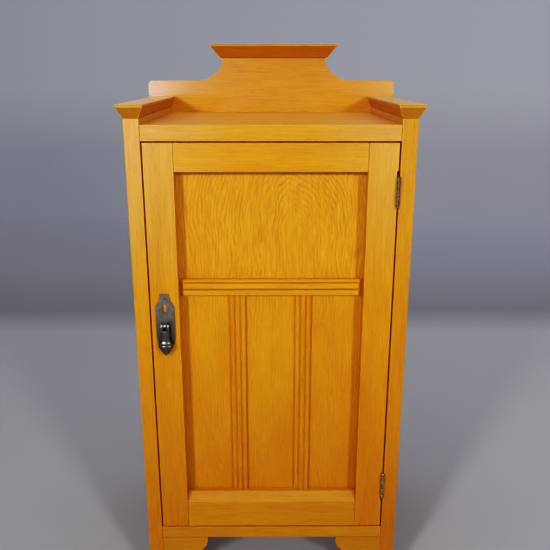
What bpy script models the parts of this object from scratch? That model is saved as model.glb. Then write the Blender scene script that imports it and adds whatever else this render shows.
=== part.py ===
"""A one-door oak bedside cupboard with a tray top, a shaped gallery back and a reeded door.

Metres, +Z up, front towards -Y. Run it with: blender --background --python part.py
Everything is laid out in the case frame: X = 0 on the centre line, Y = 0 at the front edges of
the sides, Z = 0 on the floor. The empty "cupboard" then centres the whole object on X and Y.
"""

import math

import bmesh
import bpy
from mathutils import Matrix, Vector

MM = 0.001
GAP = 0.3 * MM  # clearance between pieces that touch
OVER = 1.0 * MM  # how far a cutter runs past the face that it cuts

# Case
CASE_WIDTH = 400 * MM
CASE_DEPTH = 305 * MM
SIDE_THICK = 21.8 * MM
TRAY_HEIGHT = 740 * MM
BOARD_THICK = 22 * MM
BOTTOM_THICK = 20 * MM
BOTTOM_TOP = TRAY_HEIGHT - 640 * MM
SIDE_RISE = 8.7 * MM  # sides above the tray
INNER_X = CASE_WIDTH / 2 - SIDE_THICK
FOOT_LENGTH = 62 * MM
ARCH_HEIGHT = 38 * MM

# Back boards, in a rebate of the sides and of the top board
BACK_THICK = 8 * MM
REBATE_WIDTH = 8.2 * MM
REBATE_Y = CASE_DEPTH - 9 * MM
REBATE_TOP = TRAY_HEIGHT - 12 * MM
BACK_BOARDS = ("left", "centre", "right")
TONGUE_LENGTH = 4 * MM
TONGUE_THICK = 2.6 * MM

# Gallery back, with a raised neck that carries the crown
GALLERY_THICK = 18 * MM
GALLERY_HALF_WIDTH = 217 * MM
WING_RISE = 54 * MM
WING_RADIUS = 7 * MM
NECK_RISE = 92 * MM
NECK_HALF_WIDTH = 90 * MM
HOLLOW_WIDTH = 46 * MM  # of the curve between a wing and the neck
NECK_CENTRE = 4.5 * MM  # the neck was cut a little right of the centre line
CROWN_HEIGHT = 22.3 * MM
CROWN_FOOT = 3.5 * MM  # overhang of its foot on the neck
CROWN_OVERHANG = 19.2 * MM
CROWN_FORWARD = 15 * MM

# Caps on the sides
CAP_HEIGHT = 18.3 * MM
CAP_OVERHANG = 7.5 * MM
CAP_FORWARD = 10 * MM
CAP_FILLET = 3.4 * MM  # upright edge above the slope

# Brackets under the bottom board
BRACKET_LENGTH = 73.5 * MM
BRACKET_THICK = 18 * MM
BLOCK_SIDE = 20 * MM
BLOCK_HEIGHT = 52 * MM

# Inside
SHELF_TOP = TRAY_HEIGHT - 335 * MM
SHELF_THICK = 14 * MM
SHELF_FRONT = 34 * MM
BEARER_HEIGHT = 20 * MM
BEARER_WIDTH = 14 * MM
STOP_HEIGHT = 60 * MM
STOP_WIDTH = 12 * MM
STOP_DEPTH = 14 * MM
STOP_HEIGHTS = {"upper": TRAY_HEIGHT - 150 * MM, "lower": TRAY_HEIGHT - 560 * MM}

# Door
DOOR_GAP = 2.2 * MM
DOOR_THICK = 28 * MM
DOOR_HALF_WIDTH = INNER_X - DOOR_GAP
DOOR_TOP = TRAY_HEIGHT - 24 * MM
DOOR_BOTTOM = TRAY_HEIGHT - 637.8 * MM
STILE_WIDTH = 41.5 * MM
STILE_INNER = DOOR_HALF_WIDTH - STILE_WIDTH
TOP_RAIL_LOW = TRAY_HEIGHT - 63.7 * MM
BOTTOM_RAIL_HIGH = TRAY_HEIGHT - 593.3 * MM  # front arris of the chamfer
CHAMFER_HEIGHT = 12.3 * MM  # of the bottom rail's upper edge
CHAMFER_DEPTH = 12.8 * MM
PANEL_Y = 22 * MM
PANEL_THICK = 4 * MM
LAP = 8 * MM  # of the panel, in the rebate behind the frame
TENON_LENGTH = 28 * MM
TENON_FRONT = 9 * MM
TENON_THICK = 8 * MM
TENON_SHOULDER = 9 * MM

# Mouldings planted on the panel
CROSS_TOP = TRAY_HEIGHT - 222.8 * MM
CROSS_HEIGHT = 23.8 * MM
CROSS_THICK = 12 * MM
CROSS_CHAMFER = (4 * MM, 3.2 * MM)  # depth and height
CROSS_RETURN = 6 * MM  # chamfer of its two ends
CROSS_EASING = 0.8 * MM
QUIRK = 2.1 * MM  # width of the cross moulding's grooves, and their depth
REEDS = 3
REED_THICK = 5 * MM
REED_WIDTH = 8.2 * MM
REED_CROWN = 2.4 * MM
MUNTIN_X = 49 * MM
MUNTIN_CENTRE = -1.2 * MM  # the upright mouldings were set a little left

# Butt hinges
HINGE_X = INNER_X - 2 * MM
HINGE_Y = -3.2 * MM
HINGE_HEIGHTS = {"upper": TRAY_HEIGHT - 91.8 * MM, "lower": TRAY_HEIGHT - 561.5 * MM}
HINGE_LENGTH = 42 * MM
HINGE_GAIN_OVER = {"upper": (8 * MM, 0), "lower": (0, 7 * MM)}  # the gains' spare length above and below
KNUCKLES = 5
KNUCKLE_RADIUS = 2.8 * MM
HINGE_BORE = 1.5 * MM
HINGE_PIN_RADIUS = 1.2 * MM
LEAF_THICK = 1.2 * MM
LEAF_OFFSET = 0.5 * MM  # from the hinge axis to a leaf's near face
LEAF_FRONT = 0.6 * MM
LEAF_ROOT = 2 * MM  # how far behind the axis a leaf's tabs reach into the knuckles
LEAF_BACK = 20 * MM
LEAF_SCREW_Y = 11 * MM
LEAF_SCREW_SPREAD = 14 * MM
HINGE_PIN_HEAD = (1.2 * MM, 2.1 * MM)  # height and radius

# Ball catch
CATCH_Z = TRAY_HEIGHT - 362 * MM
CATCH_Y = 12 * MM
BALL_RADIUS = 4 * MM
BALL_PROTRUSION = 1.6 * MM
BARREL_RADIUS = 5.5 * MM
BARREL_BORE = 4.3 * MM
BARREL_LIP = 3.7 * MM
BARREL_LENGTH = 16 * MM
BARREL_LIP_THICK = 0.6 * MM
BARREL_FLOOR = 1.2 * MM
SPRING_RADIUS = 2.9 * MM
SPRING_WIRE = 0.35 * MM
SPRING_TURNS = 5
SPRING_LENGTH = 5.8 * MM
STRIKE_THICK = 1 * MM
STRIKE_HEIGHT = 40 * MM
STRIKE_WIDTH = 13 * MM
STRIKE_DIMPLE = 3 * MM
STRIKE_SCREW_SPREAD = 14.4 * MM

# Drop handle
HANDLE_X = -155.4 * MM
HANDLE_Z = TRAY_HEIGHT - 281.2 * MM
PLATE_THICK = 2.2 * MM
PLATE_TOP = 41 * MM  # the plate's ends, from HANDLE_Z
PLATE_BOTTOM = -44 * MM
PLATE_HALF_WIDTH = 13.5 * MM
PLATE_END_HALF_WIDTH = 6.6 * MM
SHOULDER_LENGTH = 20 * MM
LOWER_SHOULDER_LENGTH = 22 * MM
KEYHOLE_Z = TRAY_HEIGHT - 258.6 * MM
KEYHOLE_RADIUS = 3.1 * MM
KEYHOLE_DROP = 9.8 * MM  # from its round top's centre to its foot
KEY_SLOT_HALF_WIDTH = 2.3 * MM
PIVOT_Y = -8.5 * MM
PIVOT_Z = TRAY_HEIGHT - 287 * MM
BOSS_RADIUS = 5.2 * MM
BOSS_HEIGHT = 1.6 * MM
LUG_HALF_WIDTH = 2.6 * MM
LUG_RADIUS = 3.5 * MM
ARM_THICK = 3.3 * MM
ARM_RADIUS = 3.2 * MM
ARM_LENGTH = 12 * MM
EYE_BORE = 1.5 * MM
PIVOT_PIN_RADIUS = 1.2 * MM
PIVOT_PIN_HEAD = (0.8 * MM, 2 * MM)  # height and radius
DROP_FLATTEN = 0.5
DROP_PROFILE = (  # radius and height from the pivot, in mm: body, bell, rim bead, cone and tip
    (0, -6.8), (5, -6.9), (6.3, -7.5), (6.8, -9), (7, -13), (6.8, -18), (6.9, -21.6), (7.4, -23.8),
    (8.6, -25.2), (9.6, -26.5), (9.9, -28.2), (10, -30.1), (10.8, -31), (11.1, -32.2), (10.9, -33.4),
    (10.1, -34.3), (8.8, -36), (7.6, -38.6), (5.8, -41.4), (3.6, -43.8), (2.5, -44.8), (2.2, -45.6),
    (1.3, -46.3), (0, -46.5),
)

# Screws and pins: head radius, shank radius, length
HINGE_SCREW = (2.6 * MM, 1.4 * MM, 12 * MM)
STRIKE_SCREW = (2.4 * MM, 1.3 * MM, 10 * MM)
GALLERY_SCREW = (4 * MM, 2 * MM, 38 * MM)
GALLERY_SCREW_X = (-189 * MM, -70 * MM, 70 * MM, 189 * MM)
GALLERY_SCREW_Z = TRAY_HEIGHT - 6 * MM
PLATE_PINS = {"upper": TRAY_HEIGHT - 247 * MM, "lower": TRAY_HEIGHT - 300 * MM}
PLATE_PIN = (1.5 * MM, 0.8 * MM, 9 * MM)

AXES = {"X": 0, "Y": 1, "Z": 2}


# ---------------------------------------------------------------- materials


def material(name, color, roughness, metallic=0.0):
    made = bpy.data.materials.new(name)
    made.use_nodes = True
    shader = made.node_tree.nodes["Principled BSDF"]
    shader.inputs["Base Color"].default_value = (*color, 1)
    shader.inputs["Roughness"].default_value = roughness
    shader.inputs["Metallic"].default_value = metallic
    made.diffuse_color = (*color, 1)
    return made


# ---------------------------------------------------------------- helpers


def arc(centre, radius, start, end, steps=8):
    """Points on an arc between two angles in degrees, both ends included."""
    turns = [math.radians(start + (end - start) * i / steps) for i in range(steps + 1)]
    return [(centre[0] + radius * math.cos(a), centre[1] + radius * math.sin(a)) for a in turns]


def place(name, bm, look, parent, position):
    """Makes an object at a position of the case frame, under an empty that may be elsewhere."""
    bmesh.ops.recalc_face_normals(bm, faces=bm.faces)
    mesh = bpy.data.meshes.new(name)
    bm.to_mesh(mesh)
    bm.free()
    return place_mesh(name, mesh, look, parent, position)


def place_mesh(name, mesh, look, parent, position):
    made = bpy.data.objects.new(name, mesh)
    bpy.context.scene.collection.objects.link(made)
    made.parent = parent
    made.location = Vector(position) - Vector(parent["case_position"])
    if look and not mesh.materials:
        mesh.materials.append(look)
    return made


def smooth(made, angle=35):
    made.data.shade_smooth()
    made.data.set_sharp_from_angle(angle=math.radians(angle))
    return made


def axis_empty(name, position, parent):
    made = bpy.data.objects.new(name, None)
    bpy.context.scene.collection.objects.link(made)
    made["case_position"] = position
    if parent:
        made.parent = parent
        made.location = Vector(position) - Vector(parent["case_position"])
    return made


def add_box(bm, low, high):
    """Adds a box between two corners to a bmesh."""
    size = [b - a for a, b in zip(low, high)]
    middle = [(a + b) / 2 for a, b in zip(low, high)]
    matrix = Matrix.Translation(middle) @ Matrix.Diagonal((*size, 1))
    bmesh.ops.create_cube(bm, size=1, matrix=matrix)


def board(name, low, high, look, parent):
    """A rectangular board between two corners of the case frame, with its origin at its middle."""
    middle = [(a + b) / 2 for a, b in zip(low, high)]
    half = [(b - a) / 2 for a, b in zip(low, high)]
    bm = bmesh.new()
    add_box(bm, [-h for h in half], half)
    return place(name, bm, look, parent, middle)


def add_prism(bm, outline, along, low, high):
    """Extrudes an outline along an axis. Its points are (y, z), (x, z) or (x, y) for X, Y or Z."""
    index = AXES[along]

    def point(pair, depth):
        values = list(pair)
        values.insert(index, depth)
        return values

    face = bm.faces.new([bm.verts.new(point(pair, low)) for pair in outline])
    made = bmesh.ops.extrude_face_region(bm, geom=[face])
    moved = [v for v in made["geom"] if isinstance(v, bmesh.types.BMVert)]
    bmesh.ops.translate(bm, vec=point((0, 0), high - low), verts=moved)


def prism(name, outline, along, low, high, look, parent, position=(0, 0, 0)):
    bm = bmesh.new()
    add_prism(bm, outline, along, low, high)
    return place(name, bm, look, parent, position)


def add_turned(bm, profile, centre, direction, steps, closed=False):
    """Spins a profile of (radius, height) points about an axis through a centre."""
    towards = Vector(direction).to_track_quat("Z", "Y").to_matrix().to_4x4()
    matrix = Matrix.Translation(centre) @ towards
    verts = [bm.verts.new(matrix @ Vector((r, 0, h))) for r, h in profile]
    pairs = list(zip(verts, verts[1:]))
    if closed:
        pairs.append((verts[-1], verts[0]))
    edges = [bm.edges.new(pair) for pair in pairs]
    axis = matrix.to_3x3() @ Vector((0, 0, 1))
    bmesh.ops.spin(bm, geom=verts + edges, cent=centre, axis=axis, angle=math.tau, steps=steps)
    bmesh.ops.remove_doubles(bm, verts=bm.verts, dist=MM / 1000)


def turned(name, profile, direction, look, parent, position, steps=16, closed=False):
    bm = bmesh.new()
    add_turned(bm, profile, (0, 0, 0), direction, steps, closed)
    return smooth(place(name, bm, look, parent, position))


def helper_object(name, bm, parent):
    """A cutter or an addition for a Boolean: never shown, and laid out in the case frame."""
    made = place(name, bm, None, parent, (0, 0, 0))
    made.hide_render = True
    made.display_type = "WIRE"
    return made


def boolean(target, other, operation):
    modifier = target.modifiers.new(f"{operation.lower()}_{other.name}", "BOOLEAN")
    modifier.operation = operation
    modifier.object = other


def cut(target, name, fill):
    """Cuts away what fill(bm) makes. The cutter rides with the target's parent."""
    bm = bmesh.new()
    fill(bm)
    boolean(target, helper_object(name, bm, target.parent), "DIFFERENCE")


def add(target, name, fill):
    """Unites the target with what fill(bm) makes."""
    bm = bmesh.new()
    fill(bm)
    boolean(target, helper_object(name, bm, target.parent), "UNION")


def screw_profile(size, grow=0.0):
    """A countersunk screw from its head's flat face, at height 0, down to its point."""
    head, shank, length = size
    sink = head - shank
    rim = OVER if grow else 0.0  # a hole's cutter starts above the face
    return [
        (0, rim),
        (head + grow + rim, rim),
        (head + grow, 0),
        (shank + grow, -sink),
        (shank + grow, -length + 2 * shank),
        (0.0, -length - grow),
    ]


def screw_mesh(size, look):
    """One slotted screw, finished here, because every screw of a kind shares its mesh."""
    head = size[0]
    holder = axis_empty("screw_holder", (0, 0, 0), None)
    body = turned("screw_body", screw_profile(size), (0, 0, 1), look, holder, (0, 0, 0))
    slot = (head * 0.14, head + OVER, head * 0.22)
    cut(body, "screw_slot", lambda bm: add_box(bm, (-slot[0], -slot[1], -slot[2]), (slot[0], slot[1], OVER)))
    shown = body.evaluated_get(bpy.context.evaluated_depsgraph_get())
    mesh = bpy.data.meshes.new_from_object(shown)
    for spare in (body.modifiers[0].object, body, holder):
        bpy.data.objects.remove(spare)
    return mesh


def screw(name, mesh, direction, position, parent, look):
    """Places a shared screw mesh with its head facing the given direction."""
    made = place_mesh(name, mesh, look, parent, position)
    made.rotation_euler = Vector(direction).to_track_quat("Z", "Y").to_euler()
    return made


def screw_hole(bm, size, direction, position):
    add_turned(bm, screw_profile(size, GAP), position, direction, 16)


# ---------------------------------------------------------------- case


def side(hand, look, root):
    """A solid side with an arch between its feet and a rebate for the back boards."""
    name = "side_left" if hand < 0 else "side_right"
    arch = arc((FOOT_LENGTH + ARCH_HEIGHT, 0), ARCH_HEIGHT, 180, 90)
    arch += arc((CASE_DEPTH - FOOT_LENGTH - ARCH_HEIGHT, 0), ARCH_HEIGHT, 90, 0)
    top = TRAY_HEIGHT + SIDE_RISE - GAP
    outline = [(0, 0), *arch, (CASE_DEPTH, 0), (CASE_DEPTH, top), (0, top)]
    left_face = INNER_X if hand > 0 else -CASE_WIDTH / 2
    made = prism(name, outline, "X", 0, SIDE_THICK, look, root, (left_face, 0, 0))

    def rebate(bm):
        edges = sorted((hand * (INNER_X - OVER), hand * (INNER_X + REBATE_WIDTH)))
        low = (edges[0], REBATE_Y, BOTTOM_TOP - BOTTOM_THICK - GAP)
        add_box(bm, low, (edges[1], CASE_DEPTH + OVER, REBATE_TOP))

    def screw_holes(bm):
        far = GALLERY_SCREW_X[0] if hand < 0 else GALLERY_SCREW_X[-1]
        screw_hole(bm, GALLERY_SCREW, (0, 1, 0), gallery_screw_position(far))
        if hand > 0:
            for middle in HINGE_HEIGHTS.values():
                for position in leaf_screw_positions(1, middle):
                    screw_hole(bm, HINGE_SCREW, (-1, 0, 0), position)
        else:
            for position in strike_screw_positions():
                screw_hole(bm, STRIKE_SCREW, (1, 0, 0), position)

    cut(made, f"{name}_rebate", rebate)
    cut(made, f"{name}_screw_holes", screw_holes)
    if hand < 0:
        cut(made, "strike_recess", lambda bm: strike_box(bm, GAP))
    return made


def top_board(look, root):
    front_to_back = [
        (0, TRAY_HEIGHT - BOARD_THICK),
        (REBATE_Y, TRAY_HEIGHT - BOARD_THICK),
        (REBATE_Y, REBATE_TOP),
        (CASE_DEPTH - GAP, REBATE_TOP),
        (CASE_DEPTH - GAP, TRAY_HEIGHT),
        (0, TRAY_HEIGHT),
    ]
    reach = INNER_X - GAP
    made = prism("top_board", front_to_back, "X", -reach, reach, look, root)

    def screw_holes(bm):
        for x in GALLERY_SCREW_X[1:-1]:
            screw_hole(bm, GALLERY_SCREW, (0, 1, 0), gallery_screw_position(x))

    cut(made, "top_board_screw_holes", screw_holes)


def flat_boards(look, root):
    reach = INNER_X - GAP
    low = (-reach, 0, BOTTOM_TOP - BOTTOM_THICK)
    board("bottom_board", low, (reach, REBATE_Y, BOTTOM_TOP), look, root)
    low = (-reach, SHELF_FRONT, SHELF_TOP - SHELF_THICK)
    board("shelf", low, (reach, REBATE_Y, SHELF_TOP), look, root)


def shelf_bearer(hand, look, root):
    edges = sorted((hand * (INNER_X - GAP), hand * (INNER_X - GAP - BEARER_WIDTH)))
    top = SHELF_TOP - SHELF_THICK - GAP
    low = (edges[0], SHELF_FRONT + 2 * BEARER_WIDTH, top - BEARER_HEIGHT)
    name = "shelf_bearer_left" if hand < 0 else "shelf_bearer_right"
    board(name, low, (edges[1], REBATE_Y, top), look, root)


def door_stop(label, middle, look, root):
    """A block on the left side that the shutting stile closes against."""
    low = (-INNER_X + GAP, DOOR_THICK + GAP, middle - STOP_HEIGHT / 2)
    high = (low[0] + STOP_WIDTH, low[1] + STOP_DEPTH, middle + STOP_HEIGHT / 2)
    board(f"door_stop_{label}", low, high, look, root)


def back_boards(look, root):
    """Tongued and grooved upright boards behind the case."""
    reach = INNER_X + REBATE_WIDTH - GAP
    width = 2 * reach / len(BACK_BOARDS)
    front = REBATE_Y + GAP
    back = front + BACK_THICK
    low = BOTTOM_TOP - BOTTOM_THICK
    high = REBATE_TOP - GAP
    tongue = ((front + back - TONGUE_THICK) / 2, (front + back + TONGUE_THICK) / 2)
    groove = (tongue[0] - GAP, tongue[1] + GAP)
    for i, label in enumerate(BACK_BOARDS):
        left = -reach + i * width
        right = left + width
        outline = [(left, front)]
        if i < len(BACK_BOARDS) - 1:
            right -= GAP
            tip = right + TONGUE_LENGTH
            outline += [(right, front), (right, tongue[0]), (tip, tongue[0])]
            outline += [(tip, tongue[1]), (right, tongue[1])]
        else:
            outline += [(right, front)]
        outline += [(right, back), (left, back)]
        if i:
            deep = left + TONGUE_LENGTH
            outline += [(left, groove[1]), (deep, groove[1]), (deep, groove[0]), (left, groove[0])]
        prism(f"back_board_{label}", outline, "Z", low, high, look, root)


def gallery_screw_position(x):
    return (x, CASE_DEPTH + GAP + GALLERY_THICK, GALLERY_SCREW_Z)


def gallery_back(look, root):
    """The shaped upstand: square wings, hollow curves and a neck under the crown."""
    low = TRAY_HEIGHT - BOARD_THICK
    wing = TRAY_HEIGHT + WING_RISE
    hollow = NECK_RISE - WING_RISE
    top = TRAY_HEIGHT + NECK_RISE - GAP
    corner = GALLERY_HALF_WIDTH - WING_RADIUS
    outline = arc((corner, low + WING_RADIUS), WING_RADIUS, -90, 0, 4)
    outline += arc((corner, wing - WING_RADIUS), WING_RADIUS, 0, 90, 4)
    quarter = arc((1, 1), 1, 270, 180, 14)[:-1]  # from the wing's top up to the neck
    for hand in (1, -1):
        neck = NECK_CENTRE + hand * NECK_HALF_WIDTH
        curve = [(neck + hand * HOLLOW_WIDTH * x, wing + hollow * z) for x, z in quarter]
        curve.append((neck, top))
        outline += curve if hand > 0 else curve[::-1]
    outline += arc((-corner, wing - WING_RADIUS), WING_RADIUS, 90, 180, 4)
    outline += arc((-corner, low + WING_RADIUS), WING_RADIUS, 180, 270, 4)
    front = CASE_DEPTH + GAP
    made = prism("gallery_back", outline, "Y", front, front + GALLERY_THICK, look, root)

    def screw_holes(bm):
        for x in GALLERY_SCREW_X:
            screw_hole(bm, GALLERY_SCREW, (0, 1, 0), gallery_screw_position(x))

    cut(made, "gallery_screw_holes", screw_holes)


def flared_cap(name, base, top, fillet, look, root):
    """A cap whose sides slope out from its base to an upright edge. base and top are (low, high)."""
    (base_low, base_high), (top_low, top_high) = base, top
    levels = [
        (base_low[0], base_low[1], base_high[0], base_high[1], base_low[2]),
        (top_low[0], top_low[1], top_high[0], top_high[1], top_high[2] - fillet),
        (top_low[0], top_low[1], top_high[0], top_high[1], top_high[2]),
    ]
    bm = bmesh.new()
    rings = []
    for x0, y0, x1, y1, z in levels:
        rings.append([bm.verts.new(p) for p in ((x0, y0, z), (x1, y0, z), (x1, y1, z), (x0, y1, z))])
    for lower, upper in zip(rings, rings[1:]):
        for i in range(4):
            j = (i + 1) % 4
            bm.faces.new((lower[i], lower[j], upper[j], upper[i]))
    bm.faces.new(rings[0][::-1])
    bm.faces.new(rings[-1])
    return place(name, bm, look, root, (0, 0, 0))


def caps(look, root):
    for hand, name in ((-1, "cap_left"), (1, "cap_right")):
        low = TRAY_HEIGHT + SIDE_RISE
        high = low + CAP_HEIGHT
        base = sorted((hand * INNER_X, hand * CASE_WIDTH / 2))
        reach = (base[0] - CAP_OVERHANG, base[1] + CAP_OVERHANG)
        flared_cap(
            name,
            ((base[0], 0, low), (base[1], CASE_DEPTH, low)),
            ((reach[0], -CAP_FORWARD, high), (reach[1], CASE_DEPTH, high)),
            CAP_FILLET, look, root,
        )
    low = TRAY_HEIGHT + NECK_RISE
    front = CASE_DEPTH + GAP
    back = front + GALLERY_THICK
    neck = (NECK_CENTRE - NECK_HALF_WIDTH, NECK_CENTRE + NECK_HALF_WIDTH)
    high = low + CROWN_HEIGHT
    flared_cap(
        "crown_cap",
        ((neck[0] - CROWN_FOOT, front - CROWN_FOOT, low), (neck[1] + CROWN_FOOT, back, low)),
        ((neck[0] - CROWN_OVERHANG, front - CROWN_FORWARD, high), (neck[1] + CROWN_OVERHANG, back, high)),
        CAP_FILLET, look, root,
    )


def bracket(hand, look, root):
    """An ogee bracket foot between the bottom board and the floor, with a glue block behind."""
    top = BOTTOM_TOP - BOTTOM_THICK - GAP
    lip = 5 * MM
    round_radius = 24 * MM
    hollow_radius = 34 * MM
    turn = 65
    round_centre = (BRACKET_LENGTH - round_radius, top - lip)
    reach = round_radius + hollow_radius
    hollow_centre = (
        round_centre[0] + reach * math.cos(math.radians(turn)),
        round_centre[1] - reach * math.sin(math.radians(turn)),
    )
    curve = arc(round_centre, round_radius, 0, -turn)
    curve += arc(hollow_centre, hollow_radius, 180 - turn, 180)[1:]
    outline = [(0, 0), (0, top), (BRACKET_LENGTH, top), *curve, (curve[-1][0], 0)]
    start = INNER_X - GAP
    outline = [(hand * (start - u), z) for u, z in outline]
    label = "left" if hand < 0 else "right"
    prism(f"bracket_{label}", outline, "Y", 0, BRACKET_THICK, look, root)
    edges = sorted((hand * start, hand * (start - BLOCK_SIDE)))
    behind = BRACKET_THICK + GAP
    low = (edges[0], behind, top - BLOCK_HEIGHT)
    board(f"bracket_block_{label}", low, (edges[1], behind + BLOCK_SIDE, top), look, root)


# ---------------------------------------------------------------- door


def panel_limits():
    """Lowest and highest edge of the panel, which laps behind both rails."""
    return BOTTOM_RAIL_HIGH + CHAMFER_HEIGHT - LAP, TOP_RAIL_LOW + LAP


def tenon_heights(rail):
    if rail == "top":
        return TOP_RAIL_LOW + TENON_SHOULDER + 2 * GAP, DOOR_TOP - TENON_SHOULDER
    return DOOR_BOTTOM + TENON_SHOULDER, panel_limits()[0] - 2 * GAP


def rail(name, outline, look, door):
    reach = STILE_INNER - GAP
    made = prism(f"door_rail_{name}", outline, "X", -reach, reach, look, door)
    low, high = tenon_heights(name)
    ends = reach + TENON_LENGTH
    add(made, f"tenon_{name}", lambda bm: add_box(
        bm, (-ends, TENON_FRONT, low), (ends, TENON_FRONT + TENON_THICK, high)))


def rails(look, door):
    """The top rail, and the bottom rail with its chamfered edge, both rebated behind."""
    rebate = PANEL_Y - GAP
    foot, head = panel_limits()
    foot -= GAP
    head += GAP
    rail("top", [
        (0, TOP_RAIL_LOW), (rebate, TOP_RAIL_LOW), (rebate, head), (DOOR_THICK, head),
        (DOOR_THICK, DOOR_TOP), (0, DOOR_TOP),
    ], look, door)
    high = BOTTOM_RAIL_HIGH + CHAMFER_HEIGHT
    rail("bottom", [
        (0, DOOR_BOTTOM), (DOOR_THICK, DOOR_BOTTOM), (DOOR_THICK, foot), (rebate, foot),
        (rebate, high), (CHAMFER_DEPTH, high), (0, BOTTOM_RAIL_HIGH),
    ], look, door)


def stile(hand, look, door):
    """A door stile, rebated behind for the panel and mortised for both rails."""
    label = "left" if hand < 0 else "right"
    edges = sorted((hand * STILE_INNER, hand * DOOR_HALF_WIDTH))
    made = board(
        f"door_stile_{label}", (edges[0], 0, DOOR_BOTTOM), (edges[1], DOOR_THICK, DOOR_TOP), look, door
    )

    def joinery(bm):
        inside = hand * (STILE_INNER - OVER)
        low, high = panel_limits()
        deep = sorted((inside, hand * (STILE_INNER + LAP + GAP)))
        back = DOOR_THICK + OVER
        add_box(bm, (deep[0], PANEL_Y - GAP, low - GAP), (deep[1], back, high + GAP))
        deep = sorted((inside, hand * (STILE_INNER + TENON_LENGTH + GAP)))
        for name in ("top", "bottom"):
            low, high = tenon_heights(name)
            back = TENON_FRONT + TENON_THICK + GAP
            add_box(bm, (deep[0], TENON_FRONT - GAP, low - GAP), (deep[1], back, high + GAP))

    def hinge_gains(bm):
        inner = HINGE_X - LEAF_OFFSET - LEAF_THICK - GAP
        half = HINGE_LENGTH / 2 + GAP
        for label, middle in HINGE_HEIGHTS.items():
            above, below = HINGE_GAIN_OVER[label]
            high = (DOOR_HALF_WIDTH + OVER, LEAF_BACK + GAP, middle + half + above)
            add_box(bm, (inner, -OVER, middle - half - below), high)

    def hinge_screw_holes(bm):
        for middle in HINGE_HEIGHTS.values():
            for position in leaf_screw_positions(-1, middle):
                screw_hole(bm, HINGE_SCREW, (1, 0, 0), position)

    def handle_pin_holes(bm):
        shank = PLATE_PIN[1] + GAP
        for z in PLATE_PINS.values():
            deep = PLATE_PIN[2] - PLATE_THICK
            profile = [(0, OVER), (shank, OVER), (shank, -deep), (0, -deep)]
            add_turned(bm, profile, (HANDLE_X, 0, z), (0, -1, 0), 12)

    def catch_bore(bm):
        radius = BARREL_RADIUS + GAP
        deep = BARREL_LENGTH + GAP
        centre = (-DOOR_HALF_WIDTH, CATCH_Y, CATCH_Z)
        add_turned(bm, [(0, OVER), (radius, OVER), (radius, -deep), (0, -deep)], centre, (-1, 0, 0), 24)

    cut(made, f"joinery_{label}", joinery)
    if hand > 0:
        cut(made, "hinge_gains", hinge_gains)
        cut(made, "hinge_screw_holes", hinge_screw_holes)
    else:
        cut(made, "handle_pin_holes", handle_pin_holes)
        cut(made, "catch_bore", catch_bore)


def panel(look, door):
    low, high = panel_limits()
    reach = STILE_INNER + LAP
    board("door_panel", (-reach, PANEL_Y, low), (reach, PANEL_Y + PANEL_THICK, high), look, door)


def cross_moulding(look, door):
    """The level moulding: a chamfered top over two flat reeds with quirks between, and cut ends."""
    back = PANEL_Y - GAP
    front = back - CROSS_THICK
    deep, high = CROSS_CHAMFER
    low = CROSS_TOP - CROSS_HEIGHT
    reed = (CROSS_HEIGHT - high - 2 * QUIRK) / 2
    outline = [(back, CROSS_TOP), (front + deep, CROSS_TOP), (front, CROSS_TOP - high)]
    top = CROSS_TOP - high
    for _ in range(2):
        outline += [(front + QUIRK, top - QUIRK / 2), (front + CROSS_EASING, top - QUIRK)]
        outline += [(front, top - QUIRK - CROSS_EASING), (front, top - QUIRK - reed + CROSS_EASING)]
        top -= QUIRK + reed
    outline += [(front + CROSS_EASING, low), (back, low)]
    reach = STILE_INNER - GAP
    made = prism("door_moulding_cross", outline, "X", -reach, reach, look, door)

    def returns(bm):
        for hand in (-1, 1):
            inner = (hand * (reach - CROSS_RETURN - OVER), front - OVER)
            outer = (hand * (reach + OVER), front + CROSS_RETURN + OVER)
            corner = (outer[0], inner[1])
            add_prism(bm, [inner, corner, outer], "Z", low - OVER, CROSS_TOP + OVER)
        bmesh.ops.recalc_face_normals(bm, faces=bm.faces)

    cut(made, "cross_returns", returns)


def reeded_moulding(hand, look, door):
    """An upright strip of three reeds, from the bottom rail's chamfer to the level moulding."""
    back = PANEL_Y - GAP
    valley = back - REED_THICK + REED_CROWN
    width = REEDS * REED_WIDTH
    half_chord = REED_WIDTH / 2
    radius = (half_chord**2 + REED_CROWN**2) / (2 * REED_CROWN)
    spread = math.degrees(math.asin(half_chord / radius))
    outline = [(-width / 2, back)]
    for i in range(REEDS):
        centre = (-width / 2 + (i + 0.5) * REED_WIDTH, valley + radius - REED_CROWN)
        reed = arc(centre, radius, 270 - spread, 270 + spread, 8)
        outline += reed if i == 0 else reed[1:]
    outline.append((width / 2, back))
    middle = MUNTIN_CENTRE + hand * MUNTIN_X
    outline = [(middle + x, y) for x, y in outline]
    high = CROSS_TOP - CROSS_HEIGHT - GAP
    name = "door_moulding_left" if hand < 0 else "door_moulding_right"
    made = prism(name, outline, "Z", BOTTOM_RAIL_HIGH, high, look, door)

    def scribe(bm):
        low = BOTTOM_RAIL_HIGH + GAP
        top = low + CHAMFER_HEIGHT
        side = width / 2 + OVER
        section = [(0, low - CHAMFER_HEIGHT), (0, low), (CHAMFER_DEPTH, top), (PANEL_Y, top)]
        section.append((PANEL_Y, low - CHAMFER_HEIGHT))
        add_prism(bm, section, "X", middle - side, middle + side)
        bmesh.ops.recalc_face_normals(bm, faces=bm.faces)

    cut(made, f"{name}_scribe", scribe)
    smooth(made)


# ---------------------------------------------------------------- hinges and catch


def leaf_faces(hand):
    """X of a leaf's face by the gap and of its face on the wood; hand 1 is on the case."""
    near = HINGE_X + hand * LEAF_OFFSET
    return near, near + hand * LEAF_THICK


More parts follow.
